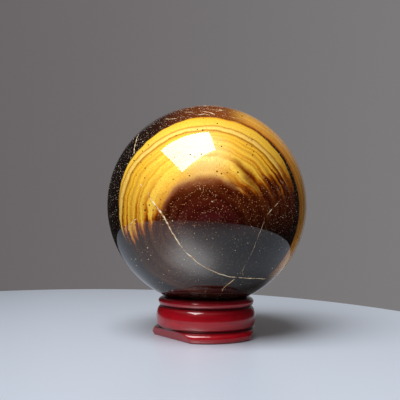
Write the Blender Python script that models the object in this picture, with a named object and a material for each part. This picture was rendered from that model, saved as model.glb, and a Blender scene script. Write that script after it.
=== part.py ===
"""A polished stone sphere resting on a small turned ring stand of lacquered wood.

Units are metres, +Z is up, the origin is on the table under the middle of the stand.
The viewer's side is -Y and +X is on the viewer's right.
"""

import math

import bmesh
import bpy
from mathutils import Matrix, Vector

# The sphere
SPHERE_DIAMETER = 0.060

# The ring, measured outwards from its bore
BORE_RADIUS = 0.0095
SEAT_WIDTH = 0.0027
LIP_EDGE_WIDTH = 0.0015
BELLY_WALL = 0.0055
FOOT_WALL = 0.0065

# The ring's three mouldings, from the table up
FOOT_HEIGHT = 0.0028
FOOT_WIDEST_HEIGHT = 0.0012
BELLY_HEIGHT = 0.0062
BELLY_WIDEST_HEIGHT = 0.0026
LIP_HEIGHT = 0.0025
LIP_WIDEST_HEIGHT = 0.0012

# How deep the two grooves are turned in below the belly's widest circle
FOOT_GROOVE_DEPTH = 0.0009
LIP_GROOVE_DEPTH = 0.0017

# How far the foot's round edge draws in again towards the table, and the bore's broken edge
FOOT_TUCK = 0.0008
BORE_CHAMFER = 0.0004

# The sphere sits this far off its seat
SEAT_GAP = 0.0003

# Two flats trimmed on the foot: the side they face, how far they cut into the foot's edge at the
# table, and how far they lean outwards on the way up, so that they stay clear of the belly
FRONT_FLAT_AZIMUTH = math.radians(219.0)
FRONT_FLAT_DEPTH = 0.0033
FRONT_FLAT_LEAN = math.radians(28.0)
SIDE_FLAT_AZIMUTH = math.radians(-11.0)
SIDE_FLAT_DEPTH = 0.0020
SIDE_FLAT_LEAN = math.radians(15.0)

# Facets
SPHERE_SEGMENTS = 64
SPHERE_RINGS = 32
RING_STEPS = 72
ARC_STEPS = 5
SHARP_ANGLE = math.radians(35.0)

# Sizes worked out from the ones above
SPHERE_RADIUS = SPHERE_DIAMETER / 2
CONTACT_RADIUS = BORE_RADIUS + SEAT_WIDTH
BELLY_RADIUS = BORE_RADIUS + BELLY_WALL
FOOT_RADIUS = BORE_RADIUS + FOOT_WALL
FOOT_GROOVE_RADIUS = BELLY_RADIUS - FOOT_GROOVE_DEPTH
LIP_GROOVE_RADIUS = BELLY_RADIUS - LIP_GROOVE_DEPTH
BELLY_TOP = FOOT_HEIGHT + BELLY_HEIGHT
STAND_HEIGHT = BELLY_TOP + LIP_HEIGHT
SPHERE_CENTRE_HEIGHT = STAND_HEIGHT + math.sqrt(SPHERE_RADIUS**2 - CONTACT_RADIUS**2)
SEAT_RADIUS = SPHERE_RADIUS + SEAT_GAP
SEAT_EDGE_RADIUS = math.sqrt(SEAT_RADIUS**2 - (SPHERE_CENTRE_HEIGHT - STAND_HEIGHT) ** 2)
LIP_RADIUS = SEAT_EDGE_RADIUS + LIP_EDGE_WIDTH


def clear_scene():
    for old in list(bpy.data.objects):
        bpy.data.objects.remove(old, do_unlink=True)


def make_material(name, colour, roughness, metallic):
    material = bpy.data.materials.new(name)
    material.use_nodes = True
    shader = material.node_tree.nodes["Principled BSDF"]
    shader.inputs["Base Color"].default_value = (*colour, 1.0)
    shader.inputs["Roughness"].default_value = roughness
    shader.inputs["Metallic"].default_value = metallic
    material.diffuse_color = (*colour, 1.0)
    return material


def add_object(name, mesh):
    item = bpy.data.objects.new(name, mesh)
    bpy.context.scene.collection.objects.link(item)
    return item


def quarter_oval(centre, half_width, half_height, start, end):
    """Points along a quarter of an oval in the profile plane, with both ends."""
    points = []
    for step in range(ARC_STEPS + 1):
        angle = start + (end - start) * step / ARC_STEPS
        radius = centre[0] + half_width * math.cos(angle)
        height = centre[1] + half_height * math.sin(angle)
        points.append((radius, height))
    return points


def seat_arc():
    """The hollowed seat from its outer edge in to the bore, one gap outside the sphere."""
    start = math.asin(SEAT_EDGE_RADIUS / SEAT_RADIUS)
    end = math.asin(BORE_RADIUS / SEAT_RADIUS)
    points = []
    for step in range(ARC_STEPS + 1):
        angle = start + (end - start) * step / ARC_STEPS
        radius = SEAT_RADIUS * math.sin(angle)
        height = SPHERE_CENTRE_HEIGHT - SEAT_RADIUS * math.cos(angle)
        points.append((radius, height))
    return points


def ring_profile():
    """The ring's closed cross-section, counter-clockwise from the underside's inner edge."""
    quarter = math.pi / 2
    belly_widest = FOOT_HEIGHT + BELLY_WIDEST_HEIGHT
    lip_widest = BELLY_TOP + LIP_WIDEST_HEIGHT
    foot_edge = quarter_oval(
        (FOOT_RADIUS - FOOT_TUCK, FOOT_WIDEST_HEIGHT), FOOT_TUCK, FOOT_WIDEST_HEIGHT, -quarter, 0.0
    )
    foot_shoulder = quarter_oval(
        (FOOT_GROOVE_RADIUS, FOOT_WIDEST_HEIGHT),
        FOOT_RADIUS - FOOT_GROOVE_RADIUS,
        FOOT_HEIGHT - FOOT_WIDEST_HEIGHT,
        0.0,
        quarter,
    )
    belly_lower = quarter_oval(
        (FOOT_GROOVE_RADIUS, belly_widest), FOOT_GROOVE_DEPTH, BELLY_WIDEST_HEIGHT, -quarter, 0.0
    )
    belly_upper = quarter_oval(
        (LIP_GROOVE_RADIUS, belly_widest), LIP_GROOVE_DEPTH, BELLY_TOP - belly_widest, 0.0, quarter
    )
    lip_lower = quarter_oval(
        (LIP_GROOVE_RADIUS, lip_widest),
        LIP_RADIUS - LIP_GROOVE_RADIUS,
        LIP_WIDEST_HEIGHT,
        -quarter,
        0.0,
    )
    lip_upper = quarter_oval(
        (SEAT_EDGE_RADIUS, lip_widest), LIP_EDGE_WIDTH, STAND_HEIGHT - lip_widest, 0.0, quarter
    )
    outline = [(BORE_RADIUS + BORE_CHAMFER, 0.0)]
    outline += foot_edge
    outline += foot_shoulder[1:]
    outline += belly_lower[1:]
    outline += belly_upper[1:]
    outline += lip_lower[1:]
    outline += lip_upper[1:]
    outline += seat_arc()[1:]
    outline.append((BORE_RADIUS, BORE_CHAMFER))
    return outline


def turn_profile(name, outline):
    """Turn a closed cross-section about Z into one closed ring."""
    shape = bmesh.new()
    corners = [shape.verts.new((radius, 0.0, height)) for radius, height in outline]
    edges = []
    for index, corner in enumerate(corners):
        edges.append(shape.edges.new((corner, corners[(index + 1) % len(corners)])))
    bmesh.ops.spin(
        shape,
        geom=corners + edges,
        cent=(0.0, 0.0, 0.0),
        axis=(0.0, 0.0, 1.0),
        angle=math.tau,
        steps=RING_STEPS,
        use_merge=True,
    )
    bmesh.ops.recalc_face_normals(shape, faces=shape.faces)
    mesh = bpy.data.meshes.new(name)
    shape.to_mesh(mesh)
    shape.free()
    mesh.shade_smooth()
    mesh.set_sharp_from_angle(angle=SHARP_ANGLE)
    return mesh


def flat_cutter(name, azimuth, depth, lean):
    """A block whose inner face is the plane of one flat; its local +X faces out of the foot."""
    reach = 2 * FOOT_RADIUS
    shape = bmesh.new()
    bmesh.ops.create_cube(shape, size=2 * reach, matrix=Matrix.Translation((reach, 0.0, 0.0)))
    mesh = bpy.data.meshes.new(name)
    shape.to_mesh(mesh)
    shape.free()
    cutter = add_object(name, mesh)
    outwards = Vector((math.cos(azimuth), math.sin(azimuth), 0.0))
    cutter.location = outwards * (FOOT_RADIUS - depth)
    cutter.rotation_euler = (0.0, lean, azimuth)
    cutter.hide_render = True
    cutter.display_type = "WIRE"
    return cutter


def cut_away(target, cutter):
    cut = target.modifiers.new(cutter.name, "BOOLEAN")
    cut.operation = "DIFFERENCE"
    cut.solver = "EXACT"
    cut.object = cutter


def make_sphere():
    """The stone: one solid ball, resting one gap above the seat."""
    shape = bmesh.new()
    bmesh.ops.create_uvsphere(
        shape, u_segments=SPHERE_SEGMENTS, v_segments=SPHERE_RINGS, radius=SPHERE_RADIUS
    )
    mesh = bpy.data.meshes.new("stone_sphere")
    shape.to_mesh(mesh)
    shape.free()
    mesh.shade_smooth()
    sphere = add_object("stone_sphere", mesh)
    sphere.location = (0.0, 0.0, SPHERE_CENTRE_HEIGHT)
    stone = make_material("polished tiger's eye", (0.42, 0.21, 0.035), 0.08, 0.0)
    mesh.materials.append(stone)


def make_stand():
    """The ring stand: foot, belly and lip turned in one piece, its foot trimmed by two flats."""
    stand = add_object("ring_stand", turn_profile("ring_stand", ring_profile()))
    lacquer = make_material("red lacquer on wood", (0.32, 0.008, 0.014), 0.15, 0.0)
    stand.data.materials.append(lacquer)
    front = flat_cutter("front_flat_cutter", FRONT_FLAT_AZIMUTH, FRONT_FLAT_DEPTH, FRONT_FLAT_LEAN)
    side = flat_cutter("side_flat_cutter", SIDE_FLAT_AZIMUTH, SIDE_FLAT_DEPTH, SIDE_FLAT_LEAN)
    cut_away(stand, front)
    cut_away(stand, side)


clear_scene()
make_sphere()
make_stand()
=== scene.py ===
# %% [markdown]
# A ball of polished tiger's eye stands on a small turned ring of red lacquered wood. The solid
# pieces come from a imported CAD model, which is a fixed frame: this script never moves them. It
# dresses them with finer meshes and with materials worked out from how stone and lacquer behave.

import math

import bmesh
import bpy
from mathutils import Matrix, Vector


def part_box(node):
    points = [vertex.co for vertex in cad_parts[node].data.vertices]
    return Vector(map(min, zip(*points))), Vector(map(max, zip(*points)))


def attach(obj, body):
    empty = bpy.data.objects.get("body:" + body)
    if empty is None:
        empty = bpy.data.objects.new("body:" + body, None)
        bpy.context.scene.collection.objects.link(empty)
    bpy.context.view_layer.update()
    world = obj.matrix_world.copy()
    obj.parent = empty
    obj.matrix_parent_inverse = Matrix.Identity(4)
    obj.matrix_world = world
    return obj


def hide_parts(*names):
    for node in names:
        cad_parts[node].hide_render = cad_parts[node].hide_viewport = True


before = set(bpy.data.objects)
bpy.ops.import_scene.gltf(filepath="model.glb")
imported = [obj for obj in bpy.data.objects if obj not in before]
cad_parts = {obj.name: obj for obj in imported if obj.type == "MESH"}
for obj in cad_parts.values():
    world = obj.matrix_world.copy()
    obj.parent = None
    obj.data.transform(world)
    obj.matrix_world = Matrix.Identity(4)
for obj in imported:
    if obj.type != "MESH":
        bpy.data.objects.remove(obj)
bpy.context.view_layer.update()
print("CAD nodes:", sorted(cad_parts))

# %% [markdown]
# Every size below is written in millimetres, as a turner or a lapidary would give it, and turned
# into metres once. The two pieces' outer sizes are read from the frame, so they always fit it.

# %% Sizes from the frame
MM = 0.001

stone_low, stone_high = (Vector(corner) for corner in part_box("stone_sphere"))
ring_low, ring_high = (Vector(corner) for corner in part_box("ring_stand"))
STONE_CENTRE = (stone_low + stone_high) / 2
STONE_RADIUS = (stone_high.z - stone_low.z) / 2
RING_HEIGHT = ring_high.z - ring_low.z
FOOT_RADIUS = (ring_high.y - ring_low.y) / 2
print(f"Stone: {STONE_RADIUS / MM:.2f} mm radius, centre {STONE_CENTRE.z / MM:.2f} mm up")
print(f"Ring: {RING_HEIGHT / MM:.2f} mm high, foot {FOOT_RADIUS / MM:.2f} mm radius")

# %% [markdown]
# Four small helpers serve every material and tree. The first fills or links a node's inputs, and
# the second adds one node of any kind with its properties and its inputs. The third turns a
# colour from the hex code of a colour chart (sRGB) into the linear values that shaders work with.
# The last starts a material. Blender's noise seldom leaves the span from 0.3 to 0.7, so that span
# is what gets stretched wherever a noise is used.

# %% Helpers for nodes and colours
NOISE_LOW = 0.3
NOISE_HIGH = 0.7


def fill(tree, node, sockets):
    """Fill inputs of a node: a socket given as the value is linked, any other value is set."""
    for key, value in sockets.items():
        if isinstance(value, bpy.types.NodeSocket):
            tree.links.new(value, node.inputs[key])
        else:
            node.inputs[key].default_value = value


def add_node(tree, kind, sockets=None, **settings):
    """One new node with its inputs filled and its settings made."""
    node = tree.nodes.new(kind)
    for name, value in settings.items():
        setattr(node, name, value)
    fill(tree, node, sockets or {})
    return node


def linear(code):
    """An sRGB hex code such as #C8961E as linear red, green, blue and alpha."""
    channels = [int(code[i:i + 2], 16) / 255 for i in (1, 3, 5)]
    return (*(c / 12.92 if c <= 0.04045 else ((c + 0.055) / 1.055) ** 2.4 for c in channels), 1.0)


def new_material(name):
    """A material with its node tree, its shader and its Object coordinates."""
    material = bpy.data.materials.new(name)
    material.use_nodes = True
    tree = material.node_tree
    place = add_node(tree, "ShaderNodeTexCoord").outputs["Object"]
    return material, tree, tree.nodes["Principled BSDF"], place


print(f"Noises are stretched from {NOISE_LOW} to {NOISE_HIGH}")

# %% [markdown]
# The camera stands 142 mm in front of the ball, a little lower than its middle, and looks
# slightly up, so the ball towers over its ring. Its lens is a normal one, of about 42 mm.

# %% Camera
CAMERA_PLACE = Vector((-2.0, -142.0, 25.7)) * MM
CAMERA_PITCH = math.radians(3.0)
CAMERA_ROLL = math.radians(0.5)
FRAME_SIDE = 400
FOCAL_PIXELS = 463.5
HORIZON_SHIFT_PIXELS = 24.6
SENSOR_WIDTH = 36.0
CLIP_START = 5.0 * MM

scene = bpy.context.scene
camera = bpy.data.objects.new("camera", bpy.data.cameras.new("camera"))
scene.collection.objects.link(camera)
camera.data.sensor_fit = "HORIZONTAL"
camera.data.sensor_width = SENSOR_WIDTH
camera.data.lens = SENSOR_WIDTH * FOCAL_PIXELS / FRAME_SIDE
camera.data.shift_y = HORIZON_SHIFT_PIXELS / FRAME_SIDE
camera.data.clip_start = CLIP_START
camera.location = CAMERA_PLACE
turn = Matrix.Rotation(math.pi / 2 + CAMERA_PITCH, 3, "X") @ Matrix.Rotation(CAMERA_ROLL, 3, "Z")
camera.rotation_euler = turn.to_euler()
scene.camera = camera
print(f"Lens {camera.data.lens:.1f} mm")

# %% [markdown]
# One large soft light, high on the left in front, makes the four-sided highlight on the polish.
# A mirror ball shows the whole room, so the room's light is set by direction: a grey wall behind
# the ball, a pale ceiling, and dim sides and front. Seen directly, the backdrop is the plain
# grey wall all round. The Standard view transform shows colours as a plain camera does.

# %% Soft light
LIGHT_POWER = 7.0
LIGHT_WIDTH = 0.487
LIGHT_HEIGHT = 0.314
LIGHT_PLACE = (-0.098, -0.256, 0.516)
LIGHT_TURN_DEGREES = (26.1, -51.5, -6.6)

light_data = bpy.data.lights.new("soft light", "AREA")
light_data.shape = "RECTANGLE"
light_data.size = LIGHT_WIDTH
light_data.size_y = LIGHT_HEIGHT
light_data.energy = LIGHT_POWER
soft_light = bpy.data.objects.new("soft light", light_data)
soft_light.location = LIGHT_PLACE
soft_light.rotation_euler = [math.radians(angle) for angle in LIGHT_TURN_DEGREES]
scene.collection.objects.link(soft_light)
print(f"Light of {LIGHT_WIDTH} by {LIGHT_HEIGHT} m, {LIGHT_POWER} W")

# %% Room
scene.view_settings.view_transform = "Standard"
world = bpy.data.worlds.new("room")
world.use_nodes = True
scene.world = world
tree = world.node_tree
look = add_node(tree, "ShaderNodeTexCoord").outputs["Generated"]
ways = add_node(tree, "ShaderNodeSeparateXYZ", {0: look}).outputs
# The wall fills a patch of directions behind the ball, and the ceiling one above it. Each row
# is one soft edge: the axis it is measured along, where the patch ends and where it is full
WALL_EDGES = [("Y", 0.4, 0.7), ("X", -0.4, -0.28), ("X", 0.66, 0.44), ("Z", 0.6, 0.49)]
CEILING_EDGES = [("Z", 0.5, 0.66), ("Y", 0.35, 0.05), ("X", 0.85, 0.1)]
WALL_SHADING_REACH = 0.4


def patch(edges):
    """1 inside a patch of directions and 0 outside, from its soft edges."""
    share = None
    for way, outside_at, inside_at in edges:
        edge = add_node(
            tree, "ShaderNodeMapRange",
            {"Value": ways[way], "From Min": outside_at, "From Max": inside_at},
            interpolation_type="SMOOTHSTEP",
        ).outputs["Result"]
        share = edge if share is None else add_node(
            tree, "ShaderNodeMath", {0: share, 1: edge}, operation="MULTIPLY"
        ).outputs[0]
    return share


wall_side = add_node(
    tree, "ShaderNodeMapRange",
    {"Value": ways["X"], "From Min": -WALL_SHADING_REACH, "From Max": WALL_SHADING_REACH},
).outputs["Result"]
wall = add_node(
    tree, "ShaderNodeMix",
    {"Factor": wall_side, 6: linear("#6A6567"), 7: linear("#7C7A7A")}, data_type="RGBA",
).outputs[2]
seen = add_node(tree, "ShaderNodeLightPath").outputs["Is Camera Ray"]
backdrop = linear("#262323")
for share, over in (
    (patch(WALL_EDGES), wall),
    (patch(CEILING_EDGES), linear("#9A9490")),
    (seen, wall),
):
    backdrop = add_node(
        tree, "ShaderNodeMix", {"Factor": share, 6: backdrop, 7: over}, data_type="RGBA"
    ).outputs[2]
tree.links.new(backdrop, tree.nodes["Background"].inputs["Color"])
print(f"Room: {len(WALL_EDGES)} edges of the wall, {len(CEILING_EDGES)} of the ceiling")

# %% [markdown]
# The floor is one plain oval disc in satin pale paint. Its far edge is seen behind the ball and
# its near edge is mirrored in it, so both fix its shape. Its nearest part, in front of the view,
# has a painted shade: it is a little darker, as where a shade falls on it. Its shine is stronger
# than real paint's, to give the pale sheen that shows along it.

# %% Floor
FLOOR_HALF_LENGTH = 0.140
FLOOR_HALF_WIDTH = 0.1205
FLOOR_TURN = math.radians(-47.5)
FLOOR_CENTRE = Vector((-0.0345, 0.0195, -0.00005))
FLOOR_CORNERS = 180

floor_mesh = bpy.data.meshes.new("floor")
shape = bmesh.new()
bmesh.ops.create_circle(
    shape, cap_ends=True, segments=FLOOR_CORNERS, radius=1.0,
    matrix=Matrix.Translation(FLOOR_CENTRE)
    @ Matrix.Rotation(FLOOR_TURN, 4, "Z")
    @ Matrix.Diagonal((FLOOR_HALF_LENGTH, FLOOR_HALF_WIDTH, 1.0, 1.0)),
)
shape.to_mesh(floor_mesh)
shape.free()
floor = bpy.data.objects.new("floor", floor_mesh)
scene.collection.objects.link(floor)
print(f"Floor: {2 * FLOOR_HALF_LENGTH / MM:.0f} by {2 * FLOOR_HALF_WIDTH / MM:.0f} mm")

# %% Floor paint
SHADE_FULL_AT = -0.105
SHADE_ENDS_AT = -0.062

paint, tree, paint_shader, place = new_material("satin pale floor paint")
along = add_node(tree, "ShaderNodeSeparateXYZ", {0: place}).outputs["Y"]
# Painted shade: the paint darkens towards the floor's near edge, as where a shade falls on it
shade = add_node(
    tree, "ShaderNodeMapRange",
    {"Value": along, "From Min": SHADE_FULL_AT, "From Max": SHADE_ENDS_AT},
    interpolation_type="SMOOTHSTEP",
).outputs["Result"]
pale = add_node(
    tree, "ShaderNodeMix",
    {"Factor": shade, 6: linear("#5A5E64"), 7: linear("#B4BDCA")}, data_type="RGBA",
).outputs[2]
fill(tree, paint_shader, {"Base Color": pale, "Roughness": 0.34, "IOR": 3.4})
floor_mesh.materials.append(paint)
print(f"Floor in {paint.name}")

# %% [markdown]
# Both main pieces follow a rule, so Geometry Nodes build them: a ball is a sphere with a little
# waviness from the polishing, and a turned ring is one section swept round a circle, uneven from
# its lacquer. Of the four helpers below, three begin a tree, make a surface wavy and end a tree.
# The last puts a tree on a start mesh, sets its named inputs by their identifiers, and keeps the
# result as a plain mesh. A tree gets one input for each of its settings, of the value's own type.

# %% Make a Geometry Nodes tree, run it and keep its mesh
SOCKET_TYPES = {
    float: "NodeSocketFloat",
    int: "NodeSocketInt",
    Vector: "NodeSocketVector",
    bpy.types.Material: "NodeSocketMaterial",
}


def new_tree(name, settings):
    """An empty tree with a geometry in and out and an input for each setting."""
    tree = bpy.data.node_groups.new(name, "GeometryNodeTree")
    tree.interface.new_socket(name="Geometry", in_out="INPUT", socket_type="NodeSocketGeometry")
    for label, value in settings.items():
        kind = SOCKET_TYPES[type(value)]
        tree.interface.new_socket(name=label, in_out="INPUT", socket_type=kind)
    tree.interface.new_socket(name="Geometry", in_out="OUTPUT", socket_type="NodeSocketGeometry")
    return tree


def wavy(tree, geometry, way, length, height, detail, still, share=1.0):
    """Each point moved along way by a noise; still is the noise's value that moves nothing."""
    spot = add_node(tree, "GeometryNodeInputPosition").outputs[0]
    scale = add_node(tree, "ShaderNodeMath", {0: 1.0, 1: length}, operation="DIVIDE").outputs[0]
    noise = add_node(
        tree, "ShaderNodeTexNoise", {"Vector": spot, "Scale": scale, "Detail": detail}
    ).outputs["Fac"]
    lift = add_node(tree, "ShaderNodeMath", {0: noise, 1: still}, operation="SUBTRACT").outputs[0]
    for factor in (height, share):
        lift = add_node(
            tree, "ShaderNodeMath", {0: lift, 1: factor}, operation="MULTIPLY"
        ).outputs[0]
    offset = add_node(
        tree, "ShaderNodeVectorMath", {0: way, "Scale": lift}, operation="SCALE"
    ).outputs["Vector"]
    return add_node(
        tree, "GeometryNodeSetPosition", {"Geometry": geometry, "Offset": offset}
    ).outputs["Geometry"]


def end_tree(tree, geometry, finish):
    """Shade the geometry smooth, make it real, give it its material and pass it out."""
    for kind in ("GeometryNodeSetShadeSmooth", "GeometryNodeRealizeInstances"):
        geometry = add_node(tree, kind, {"Geometry": geometry}).outputs["Geometry"]
    finished = add_node(
        tree, "GeometryNodeSetMaterial", {"Geometry": geometry, "Material": finish}
    ).outputs["Geometry"]
    add_node(tree, "NodeGroupOutput", {"Geometry": finished})
    print(f"Tree {tree.name}: {len(tree.nodes)} nodes")


def grow(name, start_mesh, tree, settings):
    """A new object from start_mesh with the tree applied, run with these settings."""
    start = bpy.data.objects.new(name, start_mesh)
    scene.collection.objects.link(start)
    modifier = start.modifiers.new(tree.name, "NODES")
    modifier.node_group = tree
    for item in tree.interface.items_tree:
        if item.in_out == "INPUT" and item.name in settings:
            modifier[item.identifier] = settings[item.name]
    graph = bpy.context.evaluated_depsgraph_get()
    mesh = bpy.data.meshes.new_from_object(start.evaluated_get(graph), depsgraph=graph)
    mesh.name = name
    start.modifiers.remove(modifier)
    start.data = mesh
    print(f"{name}: {len(mesh.vertices)} points, {len(mesh.polygons)} faces")
    return start


# %% [markdown]
# Tiger's eye is quartz grown through seams of parallel fibres. The seams lie in layers, gold and
# dark brown by turns, and the fibres stand across them. Here the fibres point almost at the
# viewer. Cut as a ball, such layers show as rings round the point where the fibres come out. The
# pattern's own axes are therefore set once: x to the right, y up, z along the fibres.

# %% Tiger's eye: the fibre axes
FIBRE_TILT_DOWN = math.radians(2.0)
FIBRE_TILT_LEFT = math.radians(3.6)

stone, tree, stone_shader, place = new_material("tiger's eye, tumbled and mirror polished")
centred = add_node(
    tree, "ShaderNodeVectorMath", {0: place, 1: STONE_CENTRE}, operation="SUBTRACT"
).outputs["Vector"]
fibre_place = add_node(
    tree,
    "ShaderNodeMapping",
    {
        "Vector": centred,
        "Rotation": (-math.pi / 2 - FIBRE_TILT_DOWN, FIBRE_TILT_LEFT, 0.0),
        "Scale": (1 / MM, 1 / MM, 1 / MM),
    },
).outputs["Vector"]
axes = add_node(tree, "ShaderNodeSeparateXYZ", {0: fibre_place})
across, upward, depth = axes.outputs["X"], axes.outputs["Y"], axes.outputs["Z"]
print(f"Material: {stone.name}")

# %% [markdown]
# No layer in the rock is flat. Every family of layers gets its own tilt here, as a plane that
# leans a little to the side and up or down, and one slow noise bends them all. The noise hardly
# changes along the fibres, so it never breaks a layer into islands.

# %% Tiger's eye: bent and tilted layers
WAVE_LENGTH = 12.0
WAVE_HEIGHT = 0.9
RIPPLE_LENGTH = 2.6
RIPPLE_HEIGHT = 0.28
ALONG_FIBRES = 0.12

flat_place = add_node(
    tree, "ShaderNodeVectorMath", {0: fibre_place, 1: (1.0, 1.0, ALONG_FIBRES)},
    operation="MULTIPLY",
).outputs["Vector"]
bent = depth
for length, height in ((WAVE_LENGTH, WAVE_HEIGHT), (RIPPLE_LENGTH, RIPPLE_HEIGHT)):
    bend = add_node(
        tree, "ShaderNodeTexNoise", {"Vector": flat_place, "Scale": 1 / length, "Detail": 1.0}
    ).outputs["Fac"]
    shift = add_node(
        tree, "ShaderNodeMapRange",
        {"Value": bend, "From Min": NOISE_LOW, "From Max": NOISE_HIGH, "To Min": -height / 2,
         "To Max": height / 2}, clamp=False,
    ).outputs["Result"]
    bent = add_node(tree, "ShaderNodeMath", {0: bent, 1: shift}, operation="ADD").outputs[0]
print(f"Layers bend by {WAVE_HEIGHT} mm over {WAVE_LENGTH} mm")


def tilted_depth(side_tilt, up_tilt):
    """The bent depth seen along a layer plane that leans by these slopes."""
    leaning = add_node(
        tree, "ShaderNodeMath", {0: across, 1: side_tilt, 2: bent}, operation="MULTIPLY_ADD"
    ).outputs[0]
    return add_node(
        tree, "ShaderNodeMath", {0: upward, 1: up_tilt, 2: leaning}, operation="MULTIPLY_ADD"
    ).outputs[0]


def paint_layers(measure, layers):
    """The colours of a family of layers, as (place, hex colour) pairs from low to high."""
    low = layers[0][0]
    high = layers[-1][0]
    share = add_node(
        tree, "ShaderNodeMapRange", {"Value": measure, "From Min": low, "From Max": high}
    ).outputs["Result"]
    ramp = add_node(tree, "ShaderNodeValToRGB", {"Fac": share})
    while len(ramp.color_ramp.elements) < len(layers):
        ramp.color_ramp.elements.new(0.5)
    for element, (spot, code) in zip(ramp.color_ramp.elements, layers):
        element.position = (spot - low) / (high - low)
        element.color = linear(code)
    return ramp.outputs["Color"]


# %% [markdown]
# The gold cap is the family nearest the viewer. Going outwards it runs from pale to rich gold,
# with a pair of thin brown seams and a cream layer between them, and it ends at a brown edge.

# %% Tiger's eye: the gold cap
GOLD_TILT = (0.04, -0.20)
GOLD_LAYERS = [
    (14.0, "#A9661A"),
    (15.4, "#CC8A1E"),
    (16.2, "#E2B636"),
    (18.5, "#E6BE42"),
    (18.85, "#CA9628"),
    (19.05, "#A87828"),
    (19.25, "#DDB550"),
    (19.95, "#E9C668"),
    (20.3, "#D3A434"),
    (20.55, "#A0721F"),
    (20.9, "#D6A52E"),
    (21.6, "#E8B934"),
    (22.4, "#DFAE30"),
    (22.8, "#CC942A"),
    (23.2, "#E4B63A"),
    (24.4, "#EEC444"),
    (24.9, "#D39C2A"),
    (25.3, "#E8BC40"),
    (27.6, "#E8BA48"),
    (29.0, "#CF9438"),
]
gold_depth = tilted_depth(*GOLD_TILT)
gold_cap = paint_layers(gold_depth, GOLD_LAYERS)
print(f"{len(GOLD_LAYERS)} layers in the gold cap")

# %% [markdown]
# Round the cap lies a dark band. It is brown on top and almost black at both sides. On the right
# a second gold family starts behind it. At the back the families repeat, coarser, down to a
# second dark pole, so the ball looks whole from every side.

# %% Tiger's eye: dark band, second gold and the back
CAP_EDGE = 18.54
CAP_TILT = (0.056, -0.064)
OUTER_TILT = (0.091, -0.107)
SECOND_GOLD_EDGE = 17.65
SECOND_GOLD_SIDE = 14.0
SECOND_GOLD_LEAN = 0.25

DARK_BAND = [
    (-20.0, "#150D0A"),
    (-13.0, "#24120B"),
    (-7.0, "#4A2410"),
    (2.0, "#6A3614"),
    (9.0, "#7A4012"),
    (14.0, "#6A330F"),
    (18.0, "#48200B"),
    (21.0, "#2A1208"),
    (24.0, "#120B07"),
]
OUTER_LAYERS = [
    (-29.5, "#2A1208"),
    (-26.5, "#6B3410"),
    (-24.5, "#E0A238"),
    (-20.0, "#F0B840"),
    (-18.4, "#B87820"),
    (-17.8, "#241309"),
    (-12.5, "#1C110B"),
    (-11.6, "#A86A1C"),
    (-9.0, "#E2A63A"),
    (-5.0, "#C98A2A"),
    (-3.6, "#5E3411"),
    (-2.6, "#1F130B"),
    (3.2, "#2A180D"),
    (4.6, "#845A2A"),
    (8.0, "#C29652"),
    (12.0, "#DCA64A"),
    (14.6, "#E0AA48"),
    (16.2, "#D0923A"),
    (17.0, "#C8862E"),
    (17.7, "#7A4416"),
]
band_colour = paint_layers(across, DARK_BAND)
outer_depth = tilted_depth(*OUTER_TILT)
outer_colour = paint_layers(outer_depth, OUTER_LAYERS)
cap_depth = tilted_depth(*CAP_TILT)
right_side = add_node(
    tree, "ShaderNodeMath", {0: upward, 1: SECOND_GOLD_LEAN, 2: across}, operation="MULTIPLY_ADD"
).outputs[0]
print(f"{len(DARK_BAND)} colours along the dark band, {len(OUTER_LAYERS)} layers behind it")

# %% Tiger's eye: where one family ends and the next begins, and a painted shade below
# Each soft edge: what it is measured on, where it begins and where it is complete
FAMILY_EDGES = {
    "past the cap": (outer_depth, SECOND_GOLD_EDGE + 0.25, SECOND_GOLD_EDGE - 0.35),
    "on the right": (right_side, SECOND_GOLD_SIDE - 2.5, SECOND_GOLD_SIDE + 5.0),
    "at the back": (outer_depth, 4.6, 2.6),
    # The low edge is painted shade: below the fibres' middle the stone round the cap darkens to
    # near black
    "low": (upward, 6.0, -4.0),
    "in the cap": (cap_depth, CAP_EDGE - 0.25, CAP_EDGE + 0.2),
}
family = {}
for label, (measure, begins, complete) in FAMILY_EDGES.items():
    family[label] = add_node(
        tree, "ShaderNodeMapRange", {"Value": measure, "From Min": begins, "From Max": complete},
        interpolation_type="SMOOTHSTEP",
    ).outputs["Result"]
second_side = add_node(
    tree, "ShaderNodeMath", {0: family["on the right"], 1: family["at the back"]},
    operation="MAXIMUM",
).outputs[0]
second_share = add_node(
    tree, "ShaderNodeMath", {0: family["past the cap"], 1: second_side}, operation="MULTIPLY"
).outputs[0]
outside = band_colour
# Painted shade: near black laid over the lower part by the low edge
for share, coat in ((family["low"], linear("#140C08")), (second_share, outer_colour)):
    outside = add_node(
        tree, "ShaderNodeMix", {"Factor": share, 6: outside, 7: coat}, data_type="RGBA"
    ).outputs[2]
print("Soft edges:", ", ".join(family))

# %% [markdown]
# In the middle of the cap sits a dark reddish lens with a flat round top, drawn as a curve of
# the fourth power. Below it a painted shade turns the silk brown and black, by direction round
# the fibres, like light on a fan, so its edges are two soft rays that the rings fray.

# %% Tiger's eye: where the lens is
HILL_TOP = 4.6
HILL_MIDDLE = 0.5
HILL_LEAN = 0.08
HILL_FALL = 0.0006
CLOUD_LENGTH = 4.0
CLOUD_SWING = 4.0
CLOUD_ON_HILL = 0.5

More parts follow.
